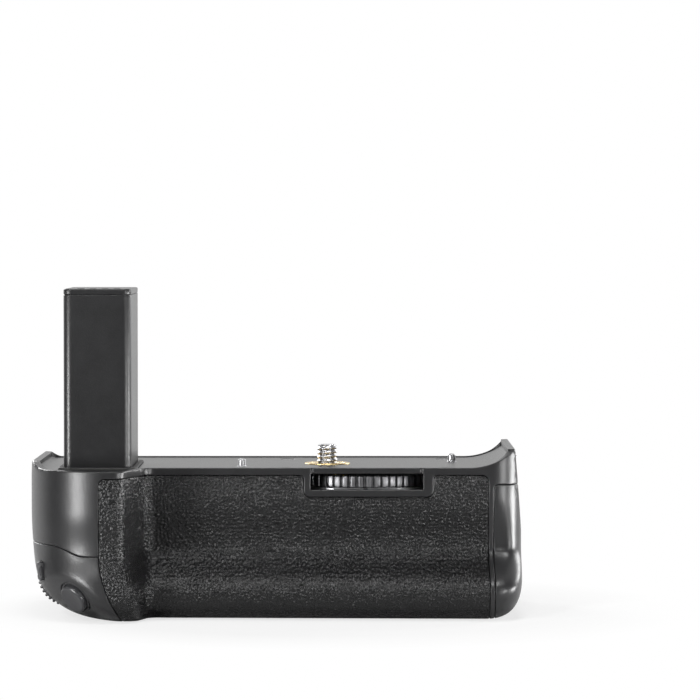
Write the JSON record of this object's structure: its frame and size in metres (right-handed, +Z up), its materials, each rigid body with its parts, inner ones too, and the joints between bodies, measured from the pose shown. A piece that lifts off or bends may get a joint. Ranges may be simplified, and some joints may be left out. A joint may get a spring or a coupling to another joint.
{
  "type": "camera battery grip",
  "caption": "Vertical battery grip that clamps under a camera: contoured body with a finger groove, rubber cover, clamp wheel, shutter and rear controls, and a draw-out battery magazine.",
  "frame": {"origin": "mouth of the tripod socket on the base, on the axis of the camera screw", "axes": "+X along the grip towards the magazine's end cap, +Y from the front to the back, +Z up towards the camera"},
  "size_m": [0.1493, 0.08, 0.0993],
  "materials": {
    "shell_plastic": "satin black moulded plastic with a fine texture",
    "rubber_cover": "black rubber sheet with a pebbled leather-like grain",
    "inner_plastic": "plain black moulding",
    "button_plastic": "satin black button plastic",
    "wheel_metal": "dark grey satin knurling",
    "frame_metal": "die-cast, matt",
    "steel": "bright steel",
    "gold_contact": "gold-plated contacts",
    "bush_brass": "turned brass",
    "circuit_board": "green solder mask",
    "battery_case": "dark grey battery case",
    "seal_rubber": "soft black seal"
  },
  "bodies": {
    "housing": {"front_shell": "shell_plastic", "rear_shell": "shell_plastic", "control_pod": "shell_plastic", "top_plate": "shell_plastic", "front_rubber": "rubber_cover", "rear_rubber": "rubber_cover", "battery_bay": "inner_plastic", "bay_seal": "seal_rubber", "bay_contacts": "gold_contact", "tripod_plate": "steel", "tripod_socket": "steel", "tower_shell": "shell_plastic", "tower_cap": "shell_plastic", "tower_contacts": "gold_contact", "tower_gasket": "seal_rubber", "tower_board": "circuit_board", "locating_pins": "steel", "clamp_frame": "frame_metal", "screw_bush": "bush_brass", "main_board": "circuit_board", "rear_board": "circuit_board", "shutter_collar": "inner_plastic", "shutter_switch": "circuit_board", "function_guide": "inner_plastic", "dial_cradle": "inner_plastic", "dial_axle": "steel", "joystick_bezel": "button_plastic", "joystick_base": "inner_plastic", "case_screws": "steel", "shutter_spring": "steel"},
    "clamp_wheel": {"clamp_wheel": "wheel_metal"},
    "screw_pinion": {"screw_pinion": "bush_brass", "screw_spring": "steel"},
    "camera_screw": {"camera_screw": "steel"},
    "shutter_button": {"shutter_button": "button_plastic"},
    "function_button": {"function_button": "button_plastic"},
    "control_dial": {"control_dial": "button_plastic"},
    "power_switch": {"power_switch": "button_plastic"},
    "focus_start_button": {"focus_start_button": "button_plastic"},
    "exposure_lock_button": {"exposure_lock_button": "button_plastic"},
    "focus_point_button": {"focus_point_button": "button_plastic"},
    "joystick_gimbal": {"joystick_gimbal": "frame_metal"},
    "joystick_cap": {"joystick_cap": "button_plastic"},
    "area_lever": {"area_lever": "button_plastic"},
    "magazine": {"magazine_tray": "inner_plastic", "magazine_cap": "shell_plastic", "battery_inner": "battery_case", "battery_outer": "battery_case", "magazine_contacts": "gold_contact"},
    "lock_knob": {"lock_knob": "button_plastic"},
    "lock_bail": {"lock_bail": "steel"}
  },
  "joints": [
    {"name": "wheel_turn", "type": "hinge", "parent": "housing", "child": "clamp_wheel", "pos_m": [0.0117, -0.00265, 0.041], "axis": [0, 0, 1], "continuous": true},
    {"name": "pinion_turn", "type": "hinge", "parent": "housing", "child": "screw_pinion", "pos_m": [0, 0, 0.041], "axis": [0, 0, 1], "continuous": true},
    {"name": "screw_float", "type": "slide", "parent": "screw_pinion", "child": "camera_screw", "axis": [0, 0, -1], "range_m": [0, 0.0022], "stiffness_N_per_m": 800, "springref_m": -0.001, "deforming": ["screw_spring"]},
    {"name": "shutter_press", "type": "slide", "parent": "housing", "child": "shutter_button", "axis": [0.6081, 0.6181, 0.4981], "range_m": [0, 0.0014], "stiffness_N_per_m": 700, "springref_m": -0.0005, "deforming": ["shutter_spring"]},
    {"name": "function_press", "type": "slide", "parent": "housing", "child": "function_button", "axis": [0.8839, 0.452, 0.12], "range_m": [0, 0.0006], "stiffness_N_per_m": 900, "springref_m": -0.0005},
    {"name": "dial_turn", "type": "hinge", "parent": "housing", "child": "control_dial", "pos_m": [-0.0783, -0.0155, 0.0123], "axis": [0, 1, 0], "continuous": true},
    {"name": "power_slide", "type": "slide", "parent": "housing", "child": "power_switch", "axis": [1, 0, 0], "range_m": [0, 0.004]},
    {"name": "focus_start_press", "type": "slide", "parent": "housing", "child": "focus_start_button", "axis": [0, -1, 0], "range_m": [0, 0.0006], "stiffness_N_per_m": 900, "springref_m": -0.0005},
    {"name": "exposure_lock_press", "type": "slide", "parent": "housing", "child": "exposure_lock_button", "axis": [0, -1, 0], "range_m": [0, 0.0006], "stiffness_N_per_m": 900, "springref_m": -0.0005},
    {"name": "focus_point_press", "type": "slide", "parent": "housing", "child": "focus_point_button", "axis": [0, -1, 0], "range_m": [0, 0.0006], "stiffness_N_per_m": 900, "springref_m": -0.0005},
    {"name": "joystick_tilt", "type": "hinge", "parent": "housing", "child": "joystick_gimbal", "pos_m": [-0.0725, 0.0282, 0.0205], "axis": [1, 0, 0], "range_deg": [-8, 8], "stiffness_Nm_per_rad": 0.02},
    {"name": "joystick_swing", "type": "hinge", "parent": "joystick_gimbal", "child": "joystick_cap", "pos_m": [-0.0725, 0.0282, 0.0205], "axis": [0, 0, 1], "range_deg": [-8, 8], "stiffness_Nm_per_rad": 0.02},
    {"name": "area_turn", "type": "hinge", "parent": "housing", "child": "area_lever", "pos_m": [-0.0725, 0.033, 0.031], "axis": [0, 1, 0], "range_deg": [-20, 20], "stiffness_Nm_per_rad": 0.02},
    {"name": "magazine_slide", "type": "slide", "parent": "housing", "child": "magazine", "axis": [1, 0, 0], "range_m": [0, 0.096]},
    {"name": "lock_turn", "type": "hinge", "parent": "magazine", "child": "lock_knob", "pos_m": [0.057, 0.0055, 0.0195], "axis": [1, 0, 0], "range_deg": [0, 90]},
    {"name": "bail_fold", "type": "hinge", "parent": "lock_knob", "child": "lock_bail", "pos_m": [0.05795, 0.0055, 0.0195], "axis": [0, -1, 0], "range_deg": [0, 90]}
  ],
  "couplings": [
    {"joint": "pinion_turn", "follows": "wheel_turn", "ratio": 3}
  ]
}
